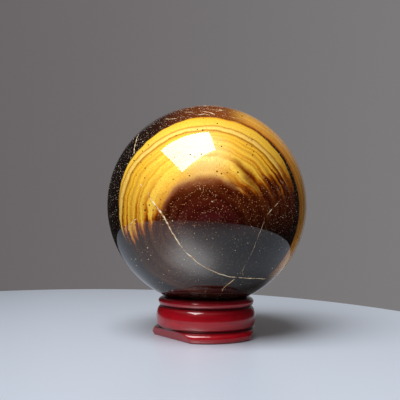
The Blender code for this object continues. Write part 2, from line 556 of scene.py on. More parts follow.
offset = add_node(
    tree, "ShaderNodeMath", {0: across, 1: HILL_MIDDLE}, operation="SUBTRACT"
).outputs[0]
fourth_power = offset
for _ in range(2):
    fourth_power = add_node(
        tree, "ShaderNodeMath", {0: fourth_power, 1: fourth_power}, operation="MULTIPLY"
    ).outputs[0]
leaning = add_node(
    tree, "ShaderNodeMath", {0: across, 1: HILL_LEAN, 2: HILL_TOP}, operation="MULTIPLY_ADD"
).outputs[0]
hill_edge = add_node(
    tree, "ShaderNodeMath", {0: fourth_power, 1: -HILL_FALL, 2: leaning},
    operation="MULTIPLY_ADD",
).outputs[0]
cloud = add_node(
    tree, "ShaderNodeTexNoise", {"Vector": flat_place, "Scale": 1 / CLOUD_LENGTH, "Detail": 3.0}
).outputs["Fac"]
cloud_shift = add_node(
    tree, "ShaderNodeMath", {0: cloud, 1: CLOUD_SWING, 2: -CLOUD_SWING / 2},
    operation="MULTIPLY_ADD",
).outputs[0]
cloudy_edge = add_node(
    tree, "ShaderNodeMath", {0: cloud_shift, 1: CLOUD_ON_HILL, 2: hill_edge},
    operation="MULTIPLY_ADD",
).outputs[0]
inside = add_node(
    tree, "ShaderNodeMath", {0: cloudy_edge, 1: upward}, operation="SUBTRACT"
).outputs[0]
print(f"The lens ends {HILL_TOP} mm above the fibres' middle")

# %% Tiger's eye: painted shade where the silk dies away
SILK_FACING = math.radians(109.0)
FADE_REACH = 0.34
FADE_STREAKS = 1.1
FADE_CLOUDS = 0.16
RING_PITCH = 0.85

ring_place = add_node(tree, "ShaderNodeCombineXYZ", {"Z": gold_depth}).outputs["Vector"]
rings = add_node(
    tree, "ShaderNodeTexNoise", {"Vector": ring_place, "Scale": 1 / RING_PITCH, "Detail": 3.0}
).outputs["Fac"]
level_place = add_node(
    tree, "ShaderNodeCombineXYZ", {"X": across, "Y": upward}
).outputs["Vector"]
level_way = add_node(
    tree, "ShaderNodeVectorMath", {0: level_place}, operation="NORMALIZE"
).outputs["Vector"]
silk_way = (math.cos(SILK_FACING), math.sin(SILK_FACING), 0.0)
facing_silk = add_node(
    tree, "ShaderNodeVectorMath", {0: level_way, 1: silk_way}, operation="DOT_PRODUCT"
).outputs["Value"]
facing = add_node(
    tree, "ShaderNodeMath", {0: facing_silk, 1: FADE_STREAKS / 2}, operation="SUBTRACT"
).outputs[0]
for fray, reach in ((rings, FADE_STREAKS), (cloud_shift, FADE_CLOUDS)):
    facing = add_node(
        tree, "ShaderNodeMath", {0: fray, 1: reach, 2: facing}, operation="MULTIPLY_ADD"
    ).outputs[0]
# Painted shade: this mask darkens the silk away from the side where the light falls
silk_shade = add_node(
    tree, "ShaderNodeMapRange",
    {"Value": facing, "From Min": FADE_REACH, "From Max": -FADE_REACH},
    interpolation_type="SMOOTHSTEP",
).outputs["Result"]
print(f"The silk is brightest towards {math.degrees(SILK_FACING):.0f} degrees")

# %% Tiger's eye: the colours of the lens, with painted shade below it
LENS_TOP_COLOURS = [
    (-2.4, "#DDAC5C"),
    (-1.0, "#C4945E"),
    (0.2, "#96603A"),
    (1.4, "#622C14"),
    (2.8, "#481A06"),
    (7.0, "#46120C"),
    (9.5, "#54161B"),
    (11.5, "#34130C"),
]
# Painted shade: below the lens the stone darkens towards black, with a painted brown sheen on the
# left
LENS_LOW_COLOURS = [
    (-22.0, "#2B1B12"),
    (-9.0, "#4A2C16"),
    (-1.0, "#2A150B"),
    (8.0, "#140B07"),
    (22.0, "#0C0806"),
]
lens_top = paint_layers(inside, LENS_TOP_COLOURS)
lens_low = paint_layers(across, LENS_LOW_COLOURS)
print(f"{len(LENS_TOP_COLOURS)} colours in the lens and {len(LENS_LOW_COLOURS)} below it")

# %% [markdown]
# Above the lens a painted highlight glow, cream near the light's reflection, makes the gold
# palest. To its right runs one bold brown arc, the curl, where a seam comes near the surface.
# Where the painted shade on the silk begins it first turns amber, and then brown, so the amber
# is laid on by multiplying. All these coats have soft edges again.

# %% Tiger's eye: painted highlight glow, curl and painted shade on the silk
# Painted highlight glow: a cream patch centred here, near where the light's reflection sits
HIGHLIGHT_GLOW_CENTRE = (0.5, 11.0, 0.0)
HIGHLIGHT_GLOW_SHARE = 0.5
CURL_DEPTH = 27.3

from_highlight_glow = add_node(
    tree, "ShaderNodeVectorMath", {0: level_place, 1: HIGHLIGHT_GLOW_CENTRE}, operation="DISTANCE"
).outputs["Value"]
from_curl = add_node(
    tree, "ShaderNodeMath", {0: cap_depth, 1: CURL_DEPTH}, operation="SUBTRACT"
).outputs[0]
from_curl = add_node(tree, "ShaderNodeMath", {0: from_curl}, operation="ABSOLUTE").outputs[0]
# Painted light among these edges: low, amber, gone and rim lay painted shade, and pale is a
# painted highlight glow
COAT_EDGES = {
    "low": (upward, 0.0, -11.0),
    "lens": (inside, -1.9, 0.6),
    "rim": (inside, 3.2, 1.2),
    "pale": (from_highlight_glow, 9.0, 2.0),
    "curl": (from_curl, 0.7, 0.05),
    "curl side": (facing_silk, 0.72, 0.30),
    "curl start": (across, 3.0, 7.0),
    "amber": (silk_shade, 0.1, 0.8),
    "gone": (silk_shade, 0.45, 1.0),
}
coats = {}
for label, (measure, begins, complete) in COAT_EDGES.items():
    coats[label] = add_node(
        tree, "ShaderNodeMapRange", {"Value": measure, "From Min": begins, "From Max": complete},
        interpolation_type="SMOOTHSTEP",
    ).outputs["Result"]
for label, other in (
    ("rim", silk_shade),
    ("pale", HIGHLIGHT_GLOW_SHARE),
    ("curl", coats["curl side"]),
    ("curl", coats["curl start"]),
):
    coats[label] = add_node(
        tree, "ShaderNodeMath", {0: coats[label], 1: other}, operation="MULTIPLY"
    ).outputs[0]
print(f"{len(coats)} coats and edges in the cap")

# %% Tiger's eye: the coats of the cap, one over the other
# The lens's lower part and its shaded side take the painted shade of the colours below the lens
lens_sides = []
for top in (linear("#4E2009"), lens_top):
    lens_sides.append(add_node(
        tree, "ShaderNodeMix", {"Factor": coats["low"], 6: top, 7: lens_low}, data_type="RGBA"
    ).outputs[2])
lens_side, lens_middle = lens_sides
lens_colour = add_node(
    tree, "ShaderNodeMix", {"Factor": coats["rim"], 6: lens_middle, 7: lens_side},
    data_type="RGBA",
).outputs[2]
# Over the gold: pale is a painted highlight glow, amber and gone are painted shade, then the lens
cap_colour = gold_cap
for label, coat, way in (
    ("pale", linear("#E6CC90"), "MIX"),
    ("curl", linear("#94621C"), "MIX"),
    ("amber", linear("#CB8A2C"), "MULTIPLY"),
    ("gone", lens_side, "MIX"),
    ("lens", lens_colour, "MIX"),
):
    cap_colour = add_node(
        tree, "ShaderNodeMix", {"Factor": coats[label], 6: cap_colour, 7: coat},
        data_type="RGBA", blend_type=way,
    ).outputs[2]
banded = add_node(
    tree, "ShaderNodeMix", {"Factor": family["in the cap"], 6: outside, 7: cap_colour},
    data_type="RGBA",
).outputs[2]
print(f"{len(tree.nodes)} nodes make the bands")

# %% [markdown]
# The fibres themselves are a noise stretched along them. They end as dots where they point at
# the viewer and lie as fine radial strokes towards the rim. A noise along the depth alone adds
# faint rings in the gold, which grow stronger to the right, where the layers are cut more freely.

# %% Tiger's eye: fibres and faint rings
FIBRE_WIDTH = 0.30
FIBRE_STRETCH = 0.06
DIMMEST_FIBRE = 0.84
BRIGHTEST_FIBRE = 1.14
RING_DEPTH_FACING_SILK = 0.4
RING_DEPTH_ASIDE = 1.3

fibre_run = add_node(
    tree, "ShaderNodeVectorMath", {0: fibre_place, 1: (1.0, 1.0, FIBRE_STRETCH)},
    operation="MULTIPLY",
).outputs["Vector"]
fibres = add_node(
    tree, "ShaderNodeTexNoise", {"Vector": fibre_run, "Scale": 1 / FIBRE_WIDTH, "Detail": 2.0}
).outputs["Fac"]
ring_depth = add_node(
    tree, "ShaderNodeMapRange",
    {"Value": facing_silk, "From Min": 0.75, "From Max": 0.1, "To Min": RING_DEPTH_FACING_SILK,
     "To Max": RING_DEPTH_ASIDE},
).outputs["Result"]
ring_dark = add_node(
    tree, "ShaderNodeMapRange", {"Value": rings, "From Min": 0.60, "From Max": 0.34},
    interpolation_type="SMOOTHSTEP",
).outputs["Result"]
ring_dark = add_node(
    tree, "ShaderNodeMath", {0: ring_dark, 1: ring_depth}, operation="MULTIPLY"
).outputs[0]
fibre_light = add_node(
    tree, "ShaderNodeMapRange",
    {"Value": fibres, "From Min": NOISE_LOW, "From Max": NOISE_HIGH, "To Min": DIMMEST_FIBRE,
     "To Max": BRIGHTEST_FIBRE},
).outputs["Result"]
ringed = add_node(
    tree, "ShaderNodeMix", {"Factor": ring_dark, 6: banded, 7: linear("#D2A263")},
    data_type="RGBA", blend_type="MULTIPLY",
).outputs[2]
silk = add_node(
    tree, "ShaderNodeVectorMath", {0: ringed, "Scale": fibre_light}, operation="SCALE"
).outputs["Vector"]
print(f"Fibres {FIBRE_WIDTH} mm wide and {FIBRE_WIDTH / FIBRE_STRETCH:.0f} mm long")

# %% [markdown]
# Tiny open pores are left between the fibres after polishing. Pale dust sits in them on the dark
# stone, and on the gold they look like short dark strokes, because no silk shines there. Four
# runs of stretched cells give them: amber dust in the lens, specks, long single strokes, and
# pits in the gold.

# %% Tiger's eye: what counts as gold
DARKEST_GOLD = 0.12
FULL_GOLD = 0.35

brightness = add_node(tree, "ShaderNodeSeparateColor", {0: banded}).outputs[0]
is_gold = add_node(
    tree, "ShaderNodeMapRange",
    {"Value": brightness, "From Min": DARKEST_GOLD, "From Max": FULL_GOLD},
    interpolation_type="SMOOTHSTEP",
).outputs["Result"]
print(f"Gold is what is redder than {DARKEST_GOLD}")

# %% Tiger's eye: pores
# Each run: cell spacing in mm, largest radius as a share of it, stretch along the fibres, and
# how rare the large ones are
PORE_RUNS = {
    "dust": (0.36, 0.27, 0.40, 0.8),
    "specks": (0.78, 0.14, 0.16, 2.0),
    "strokes": (1.4, 0.11, 0.07, 2.0),
    "pits": (1.3, 0.19, 0.25, 1.1),
}

pores = {}
for label, (spacing, size, stretch, rarity) in PORE_RUNS.items():
    run = add_node(
        tree, "ShaderNodeVectorMath", {0: fibre_place, 1: (1.0, 1.0, stretch)},
        operation="MULTIPLY",
    ).outputs["Vector"]
    cells = add_node(tree, "ShaderNodeTexVoronoi", {"Vector": run, "Scale": 1 / spacing})
    pick = add_node(tree, "ShaderNodeSeparateColor", {0: cells.outputs["Color"]}).outputs[0]
    pick = add_node(
        tree, "ShaderNodeMath", {0: pick, 1: rarity}, operation="POWER"
    ).outputs[0]
    reach = add_node(tree, "ShaderNodeMath", {0: pick, 1: size}, operation="MULTIPLY").outputs[0]
    pores[label] = add_node(
        tree, "ShaderNodeMath", {0: cells.outputs["Distance"], 1: reach}, operation="LESS_THAN"
    ).outputs[0]
open_pore = add_node(
    tree, "ShaderNodeMath", {0: pores["specks"], 1: pores["strokes"]}, operation="MAXIMUM"
).outputs[0]
gold_pit = add_node(
    tree, "ShaderNodeMath", {0: pores["pits"], 1: is_gold}, operation="MULTIPLY"
).outputs[0]
open_pore = add_node(
    tree, "ShaderNodeMath", {0: open_pore, 1: gold_pit}, operation="MAXIMUM"
).outputs[0]
print(f"{len(PORE_RUNS)} runs of pores")

# %% Tiger's eye: dust in the pores
DUST_ON_DARK = 0.85
DUST_ON_GOLD = 0.12
DUST_BELOW = 0.3
AMBER_DUST_DEPTH = 27.0
GREY_DUST_DEPTH = 22.0

dust_share = add_node(
    tree, "ShaderNodeMapRange", {"Value": is_gold, "To Min": DUST_ON_DARK, "To Max": DUST_ON_GOLD}
).outputs["Result"]
less_below = add_node(
    tree, "ShaderNodeMapRange", {"Value": coats["low"], "To Min": 1.0, "To Max": DUST_BELOW}
).outputs["Result"]
for factor in (less_below, pores["dust"]):
    dust_share = add_node(
        tree, "ShaderNodeMath", {0: dust_share, 1: factor}, operation="MULTIPLY"
    ).outputs[0]
from_pole = add_node(
    tree, "ShaderNodeMapRange",
    {"Value": depth, "From Min": AMBER_DUST_DEPTH, "From Max": GREY_DUST_DEPTH},
    interpolation_type="SMOOTHSTEP",
).outputs["Result"]
coat_colours = []
for share, below, above in (
    (from_pole, "#DDA272", "#B8AA98"),
    (is_gold, "#D8C8AA", "#452A0C"),
):
    coat_colours.append(add_node(
        tree, "ShaderNodeMix", {"Factor": share, 6: linear(below), 7: linear(above)},
        data_type="RGBA",
    ).outputs[2])
dust_colour, pore_colour = coat_colours
stone_colour = silk
for share, over in ((dust_share, dust_colour), (open_pore, pore_colour)):
    stone_colour = add_node(
        tree, "ShaderNodeMix", {"Factor": share, 6: stone_colour, 7: over}, data_type="RGBA"
    ).outputs[2]
print(f"{len(tree.nodes)} nodes make the stone's colour")

# %% [markdown]
# The silk is a reflection from the fibres under the surface, so the gold is partly metallic and
# soft, and the dark stone much less. The highlight runs round the fibres, which the anisotropy
# does, with its tangent turned round the fibre axis. The polish is a clear, mirror-smooth coat.
# Quartz has an IOR of 1.54, and so has the coat, because the polish is the stone's own surface.

# %% Tiger's eye: finish
QUARTZ_IOR = 1.54
SILK_METAL = 0.2
ROUGHEST_SILK = 0.66
SMOOTHEST_SILK = 0.56

fibre_turn = Matrix.Rotation(FIBRE_TILT_LEFT, 3, "Y")
fibre_turn = fibre_turn @ Matrix.Rotation(-math.pi / 2 - FIBRE_TILT_DOWN, 3, "X")
fibre_axis = fibre_turn.transposed() @ Vector((0.0, 0.0, 1.0))
print("Fibres point along", [round(value, 3) for value in fibre_axis])

normal = add_node(tree, "ShaderNodeNewGeometry").outputs["Normal"]
round_fibres = add_node(
    tree, "ShaderNodeVectorMath", {0: fibre_axis, 1: normal}, operation="CROSS_PRODUCT"
).outputs["Vector"]
polish = add_node(tree, "ShaderNodeMath", {0: 1.0, 1: open_pore}, operation="SUBTRACT").outputs[0]
silk_metal = add_node(
    tree, "ShaderNodeMapRange", {"Value": is_gold, "To Min": 0.0, "To Max": SILK_METAL}
).outputs["Result"]
silk_metal = add_node(
    tree, "ShaderNodeMath", {0: silk_metal, 1: polish}, operation="MULTIPLY"
).outputs[0]
silk_rough = add_node(
    tree, "ShaderNodeMapRange",
    {"Value": fibres, "From Min": NOISE_LOW, "From Max": NOISE_HIGH, "To Min": ROUGHEST_SILK,
     "To Max": SMOOTHEST_SILK},
).outputs["Result"]
fill(tree, stone_shader, {
    "Base Color": stone_colour,
    "Metallic": silk_metal,
    "Roughness": silk_rough,
    "Tangent": round_fibres,
    "Coat Weight": polish,
    "IOR": QUARTZ_IOR,
    "Specular IOR Level": 0.0,
    "Anisotropic": 0.5,
    "Coat Roughness": 0.02,
    "Coat IOR": QUARTZ_IOR,
})

# %% [markdown]
# The ball is an icosphere, because its triangles are all of a size and it has no poles. A slow
# noise of a few thousandths of a millimetre is the waviness that hand polishing leaves.

# %% Tiger's eye: the ball
POLISH_WAVE_LENGTH = 9.0
POLISH_WAVE_HEIGHT = 0.004
BALL_SUBDIVISIONS = 7

ball_settings = {
    "Radius": STONE_RADIUS,
    "Centre": STONE_CENTRE,
    "Subdivisions": BALL_SUBDIVISIONS,
    "Wave length": POLISH_WAVE_LENGTH * MM,
    "Wave height": POLISH_WAVE_HEIGHT * MM,
    "Finish": stone,
}
ball_tree = new_tree("polished ball", ball_settings)
given = add_node(ball_tree, "NodeGroupInput").outputs
ball = add_node(
    ball_tree, "GeometryNodeMeshIcoSphere",
    {"Radius": given["Radius"], "Subdivisions": given["Subdivisions"]},
).outputs["Mesh"]
spot = add_node(ball_tree, "GeometryNodeInputPosition").outputs[0]
outwards = add_node(
    ball_tree, "ShaderNodeVectorMath", {0: spot}, operation="NORMALIZE"
).outputs["Vector"]
waved = wavy(
    ball_tree, ball, outwards, given["Wave length"], given["Wave height"], detail=0.0, still=1.0
)
moved = add_node(
    ball_tree, "GeometryNodeTransform", {"Geometry": waved, "Translation": given["Centre"]}
).outputs["Geometry"]
end_tree(ball_tree, moved, given["Finish"])

ball_start = bpy.data.meshes.new("ball start")
polished_ball = grow("polished_ball", ball_start, ball_tree, ball_settings)

# %% [markdown]
# Cracks in the rock healed with pale quartz long before the ball was cut, and the polish runs
# level over them. Each vein is a line drawn on the ball by two angles: the direction round the
# fibre axis (0 is right, 90 is up) and the angle away from it. The tree turns each line into a
# thin thread, frays it with noise and presses it flat on the surface.

# %% Quartz veins: lines on the ball
# Each vein: thread radius in mm, then its (direction, angle) points in degrees
VEINS = [
    (0.20, [(-187, 27), (-180, 25), (-174, 23), (-167, 21.5), (-155, 20), (-139, 20.3)]),
    (0.15, [(-146, 20), (-130, 21.5), (-117, 24), (-105, 27.5), (-90, 33.5)]),
    (0.13, [(-94, 31.8), (-80, 38), (-70, 44), (-62, 49), (-55, 56), (-50, 65)]),
    (0.035, [(-62, 49), (-60, 44), (-55, 41), (-42, 36.5), (-30, 34), (-16, 33.5)]),
    (0.11, [(-13, 34), (-8, 36), (-4, 38.5), (0.5, 41.5)]),
    (0.14, [(-78, 54.5), (-76, 51.5), (-72, 49), (-67, 47)]),
    (0.12, [(-164, 36), (-163, 39), (-161, 43.5)]),
    (0.14, [(146, 48.5), (142, 53), (138, 58), (134, 64)]),
    (0.14, [(167.5, 31), (166, 33)]),
    (0.09, [(-88, 6.5), (-62, 7.5), (-40, 8)]),
    (0.12, [(83, 52), (87, 54.5), (92, 55.5)]),
    (0.10, [(86, 50.5), (90, 52), (94, 51.5)]),
    (0.11, [(83, 56), (80, 59), (79, 63)]),
    (0.09, [(96, 55), (101, 57), (104, 60)]),
    (0.09, [(70, 54), (66, 55.5), (63, 58)]),
    (0.09, [(108, 52), (113, 55), (116, 59)]),
    (0.09, [(99, 66), (92, 67.5), (85, 66.5), (79, 68)]),
    (0.08, [(96, 73), (87, 71), (79, 72.5)]),
    (0.08, [(91, 60.5), (84, 59), (77, 60)]),
    (0.07, [(106, 64), (99, 61.5)]),
    (0.07, [(79, 52), (72, 53.5), (67, 52.5)]),
    (0.06, [(112, 67), (104, 69), (98, 68)]),
    (0.06, [(75, 64), (69, 63), (63, 64.5)]),
]
VEIN_STEP_DEGREES = 1.0
TAPER_START = 0.35
TAPER_PER_POINT = 0.3

axis_right = fibre_turn.transposed() @ Vector((1.0, 0.0, 0.0))
axis_up = fibre_turn.transposed() @ Vector((0.0, 1.0, 0.0))


def on_ball(direction, angle):
    """The point of the unit ball at these two angles, in degrees."""
    around = math.radians(direction)
    away = math.radians(angle)
    flat = axis_right * math.cos(around) + axis_up * math.sin(around)
    return (fibre_axis * math.cos(away) + flat * math.sin(away)).normalized()


vein_points = []
vein_edges = []
vein_radii = []
for thread, corners in VEINS:
    spots = [on_ball(*corner) for corner in corners]
    first = len(vein_points)
    for start, end in zip(spots, spots[1:]):
        steps = max(1, round(math.degrees(start.angle(end)) / VEIN_STEP_DEGREES))
        for step in range(steps):
            vein_points.append(start.slerp(end, step / steps) * STONE_RADIUS)
    vein_points.append(spots[-1] * STONE_RADIUS)
    count = len(vein_points) - first
    vein_edges += [(first + i, first + i + 1) for i in range(count - 1)]
    for i in range(count):
        taper = min(1.0, TAPER_START + TAPER_PER_POINT * min(i, count - 1 - i))
        vein_radii.append(thread * taper * MM)
vein_lines = bpy.data.meshes.new("vein lines")
vein_lines.from_pydata(vein_points, vein_edges, [])
radius_layer = vein_lines.attributes.new("thread", "FLOAT", "POINT")
radius_layer.data.foreach_set("value", vein_radii)
print(f"{len(VEINS)} veins from {len(vein_points)} points")

# %% [markdown]
# Vein quartz is milky where it holds tiny bubbles and clear between them, so its white changes
# to the stone's own brown every millimetre or so.

# %% Quartz veins: material
MILK_LENGTH = 1.1 * MM

quartz, tree, quartz_shader, place = new_material("milky quartz, polished level with the stone")
milk = add_node(
    tree, "ShaderNodeTexNoise", {"Vector": place, "Scale": 1 / MILK_LENGTH, "Detail": 3.0}
).outputs["Fac"]
milk_share = add_node(
    tree, "ShaderNodeMapRange", {"Value": milk, "From Min": 0.38, "From Max": 0.62}
).outputs["Result"]
milky = add_node(
    tree, "ShaderNodeMix", {"Factor": milk_share, 6: linear("#A8783C"), 7: linear("#F4E3BE")},
    data_type="RGBA",
).outputs[2]
fill(tree, quartz_shader, {"Base Color": milky, "Roughness": 0.35, "IOR": QUARTZ_IOR})
print(f"Veins of {quartz.name}")

# %% Quartz veins: frayed lines
POINT_SPACING = 0.15 * MM

vein_settings = {
    "Ball radius": STONE_RADIUS,
    "Centre": STONE_CENTRE,
    "Flatness": 0.12,
    "Lift": -0.004 * MM,
    "Fray": 0.5 * MM,
    "Fray length": 1.6 * MM,
    "Finish": quartz,
}
vein_tree = new_tree("pressed threads", vein_settings)
given = add_node(vein_tree, "NodeGroupInput").outputs
lines = add_node(vein_tree, "GeometryNodeMeshToCurve", {"Mesh": given["Geometry"]}).outputs[0]
lines = add_node(
    vein_tree, "GeometryNodeResampleCurve", {"Curve": lines, "Length": POINT_SPACING},
    mode="LENGTH",
).outputs[0]
spot = add_node(vein_tree, "GeometryNodeInputPosition").outputs[0]
fray_scale = add_node(
    vein_tree, "ShaderNodeMath", {0: 1.0, 1: given["Fray length"]}, operation="DIVIDE"
).outputs[0]
fray_noise = add_node(
    vein_tree, "ShaderNodeTexNoise", {"Vector": spot, "Scale": fray_scale, "Detail": 3.0}
).outputs["Color"]
fray_middle = add_node(
    vein_tree, "ShaderNodeVectorMath", {0: fray_noise, 1: (0.5, 0.5, 0.5)}, operation="SUBTRACT"
).outputs["Vector"]
fray_shift = add_node(
    vein_tree, "ShaderNodeVectorMath", {0: fray_middle, "Scale": given["Fray"]},
    operation="SCALE",
).outputs["Vector"]
lines = add_node(
    vein_tree, "GeometryNodeSetPosition", {"Geometry": lines, "Offset": fray_shift}
).outputs[0]
print(f"Lines with a point every {POINT_SPACING / MM:.2f} mm")

# %% Quartz veins: threads of changing thickness
THREAD_SIDES = 8
THINNEST_SHARE = 0.35
THICKEST_SHARE = 1.5

thread = add_node(
    vein_tree, "GeometryNodeInputNamedAttribute", {"Name": "thread"}, data_type="FLOAT"
).outputs["Attribute"]
swell = add_node(
    vein_tree, "ShaderNodeTexNoise", {"Vector": spot, "Scale": fray_scale, "Detail": 1.0}
).outputs["Fac"]
swell = add_node(
    vein_tree, "ShaderNodeMapRange",
    {"Value": swell, "From Min": NOISE_LOW, "From Max": NOISE_HIGH, "To Min": THINNEST_SHARE,
     "To Max": THICKEST_SHARE},
).outputs["Result"]
thread = add_node(
    vein_tree, "ShaderNodeMath", {0: thread, 1: swell}, operation="MULTIPLY"
).outputs[0]
thread_section = add_node(
    vein_tree, "GeometryNodeCurvePrimitiveCircle", {"Resolution": THREAD_SIDES, "Radius": 1.0}
).outputs["Curve"]
threads = add_node(
    vein_tree, "GeometryNodeCurveToMesh",
    {"Curve": lines, "Profile Curve": thread_section, "Scale": thread, "Fill Caps": True},
).outputs["Mesh"]
print(f"Threads with {THREAD_SIDES} sides")

# %% Quartz veins: threads pressed on the ball
spot = add_node(vein_tree, "GeometryNodeInputPosition").outputs[0]
distance = add_node(
    vein_tree, "ShaderNodeVectorMath", {0: spot}, operation="LENGTH"
).outputs["Value"]
outwards = add_node(
    vein_tree, "ShaderNodeVectorMath", {0: spot}, operation="NORMALIZE"
).outputs["Vector"]
proud = add_node(
    vein_tree, "ShaderNodeMath", {0: distance, 1: given["Ball radius"]}, operation="SUBTRACT"
).outputs[0]
pressed = add_node(
    vein_tree, "ShaderNodeMath", {0: proud, 1: given["Flatness"], 2: given["Lift"]},
    operation="MULTIPLY_ADD",
).outputs[0]
level = add_node(
    vein_tree, "ShaderNodeMath", {0: pressed, 1: given["Ball radius"]}, operation="ADD"
).outputs[0]
flat_spot = add_node(
    vein_tree, "ShaderNodeVectorMath", {0: outwards, "Scale": level}, operation="SCALE"
).outputs["Vector"]
flat_spot = add_node(
    vein_tree, "ShaderNodeVectorMath", {0: flat_spot, 1: given["Centre"]}, operation="ADD"
).outputs["Vector"]
pressed_mesh = add_node(
    vein_tree, "GeometryNodeSetPosition",
    {"Geometry": threads, "Position": flat_spot},
).outputs[0]
end_tree(vein_tree, pressed_mesh, given["Finish"])

quartz_veins = grow("quartz_veins", vein_lines, vein_tree, vein_settings)

# %% [markdown]
# The ring is turned on a lathe: a foot flange, a belly bead and a lip, parted by two grooves,
# with a hollowed seat for the ball. Its half section is drawn with quarter ovals. Lacquer fills
# the bottom of each groove a little, so the ovals stop short of it by a few degrees.

# %% Ring: the turned section
BORE_RADIUS = 9.5 * MM
BORE_CHAMFER = 0.4 * MM
BELLY_RADIUS = 15.0 * MM
FOOT_GROOVE_RADIUS = 14.1 * MM
LIP_GROOVE_RADIUS = 13.3 * MM
LIP_EDGE_WIDTH = 1.5 * MM
FOOT_TUCK = 0.8 * MM
FOOT_WIDEST = 1.2 * MM
FOOT_TOP = 2.8 * MM
BELLY_WIDEST = 5.4 * MM
BELLY_TOP = 9.0 * MM
LIP_WIDEST = 10.2 * MM
SEAT_CLEARANCE = 0.03 * MM
GROOVE_FILL_DEGREES = 9.0
OVAL_STEPS = 14
JOIN_DISTANCE = 0.001 * MM

CAD_SEAT_GAP = 0.3 * MM
seat_rise = STONE_CENTRE.z - RING_HEIGHT
cad_seat_edge = math.sqrt((STONE_RADIUS + CAD_SEAT_GAP) ** 2 - seat_rise**2)
LIP_RADIUS = cad_seat_edge + LIP_EDGE_WIDTH
SEAT_RADIUS = STONE_RADIUS + SEAT_CLEARANCE
SEAT_EDGE = math.sqrt(SEAT_RADIUS**2 - seat_rise**2)


def oval(centre_radius, centre_height, widest, end_height, start, end):
    """Points (radius, height) along an oval arc between two angles in degrees."""
    half_width = widest - centre_radius
    half_height = abs(end_height - centre_height)
    points = []
    for step in range(OVAL_STEPS + 1):
        angle = math.radians(start + (end - start) * step / OVAL_STEPS)
        points.append((
            centre_radius + half_width * math.cos(angle),
            centre_height + half_height * math.sin(angle),
        ))
    return points


groove_end = GROOVE_FILL_DEGREES - 90
groove_start = 90 - GROOVE_FILL_DEGREES
# Each oval: the radius and height of its middle, the radius where it is widest, the height of
# its top or bottom, and the two angles in degrees between which it is drawn
OVALS = [
    (FOOT_RADIUS - FOOT_TUCK, FOOT_WIDEST, FOOT_RADIUS, 0.0, -90, 0),
    (FOOT_GROOVE_RADIUS, FOOT_WIDEST, FOOT_RADIUS, FOOT_TOP, 0, groove_start),
    (FOOT_GROOVE_RADIUS, BELLY_WIDEST, BELLY_RADIUS, FOOT_TOP, groove_end, 0),
    (LIP_GROOVE_RADIUS, BELLY_WIDEST, BELLY_RADIUS, BELLY_TOP, 0, groove_start),
    (LIP_GROOVE_RADIUS, LIP_WIDEST, LIP_RADIUS, BELLY_TOP, groove_end, 0),
    (SEAT_EDGE, LIP_WIDEST, LIP_RADIUS, RING_HEIGHT, 0, 90),
]
section = [(BORE_RADIUS + BORE_CHAMFER, 0.0)]
for row in OVALS:
    arc = oval(*row)
    joined = math.dist(arc[0], section[-1]) < JOIN_DISTANCE
    section += arc[1:] if joined else arc
for step in range(1, OVAL_STEPS + 1):
    radius = SEAT_EDGE + (BORE_RADIUS - SEAT_EDGE) * step / OVAL_STEPS
    section.append((radius, STONE_CENTRE.z - math.sqrt(SEAT_RADIUS**2 - radius**2)))
section.append((BORE_RADIUS, BORE_CHAMFER))
print(f"Ring section: {len(section)} points, lip radius {LIP_RADIUS / MM:.2f} mm")

# %% [markdown]
# The ring is dipped in red lacquer over close-grained wood. Lacquer is a thick, clear, glossy
# film over a coloured one, so the Principled shader gets a full coat over a satin red. The wood
# shows through as slightly darker pores, and a painted shade darkens the red in the grooves.

# %% Ring: red lacquer
# How many marks of the grain lie in a metre along x, y and z: they are 17 by 1.1 by 0.7 mm
GRAIN_PER_METRE = (60.0, 900.0, 1400.0)
GRAIN_DARKNESS = 0.45
GROOVE_SHADE_REACH = 0.7 * MM

lacquer, tree, lacquer_shader, place = new_material("red lacquer, dipped over turned wood")
grain_place = add_node(
    tree, "ShaderNodeMapping", {"Vector": place, "Scale": GRAIN_PER_METRE}
).outputs["Vector"]
grain = add_node(
    tree, "ShaderNodeTexNoise", {"Vector": grain_place, "Scale": 1.0, "Detail": 3.0}
).outputs["Fac"]
grain_tone = add_node(
    tree, "ShaderNodeMapRange",
    {"Value": grain, "From Min": 0.35, "From Max": 0.7, "To Min": 0.0, "To Max": GRAIN_DARKNESS},
).outputs["Result"]
red = add_node(
    tree, "ShaderNodeMix", {"Factor": grain_tone, 6: linear("#9A0716"), 7: linear("#68040F")},
    data_type="RGBA",
).outputs[2]
height = add_node(tree, "ShaderNodeSeparateXYZ", {0: place}).outputs["Z"]
# Painted shade: the red darkens near the height of each groove, where shade falls in the crease
groove_shade = None
for groove_height in (FOOT_TOP, BELLY_TOP):
    from_groove = add_node(
        tree, "ShaderNodeMath", {0: height, 1: groove_height}, operation="SUBTRACT"
    ).outputs[0]
    from_groove = add_node(
        tree, "ShaderNodeMath", {0: from_groove}, operation="ABSOLUTE"
    ).outputs[0]
    near = add_node(
        tree, "ShaderNodeMapRange",
        {"Value": from_groove, "From Min": GROOVE_SHADE_REACH, "From Max": 0.0},
        interpolation_type="SMOOTHSTEP",
    ).outputs["Result"]
    groove_shade = near if groove_shade is None else add_node(
        tree, "ShaderNodeMath", {0: groove_shade, 1: near}, operation="MAXIMUM"
    ).outputs[0]
red_with_groove_shade = add_node(
    tree, "ShaderNodeMix", {"Factor": groove_shade, 6: red, 7: linear("#3C0309")}, data_type="RGBA"
).outputs[2]
fill(tree, lacquer_shader, {
    "Base Color": red_with_groove_shade,
    "Roughness": 0.35,
    "Specular IOR Level": 0.1,
    "Coat Weight": 1.0,
    "Coat Roughness": 0.02,
    "Coat IOR": 1.48,
})
print(f"Ring in {lacquer.name}")

# %% [markdown]
# The tree sweeps the section round a circle. Two flats were trimmed off the foot by hand: a
# point that stands further out than a flat's leaning plane is drawn in to it, and a smooth
# minimum leaves the soft edge that the lacquer makes there. Last, the lacquer's own unevenness
# moves every point a few hundredths of a millimetre.

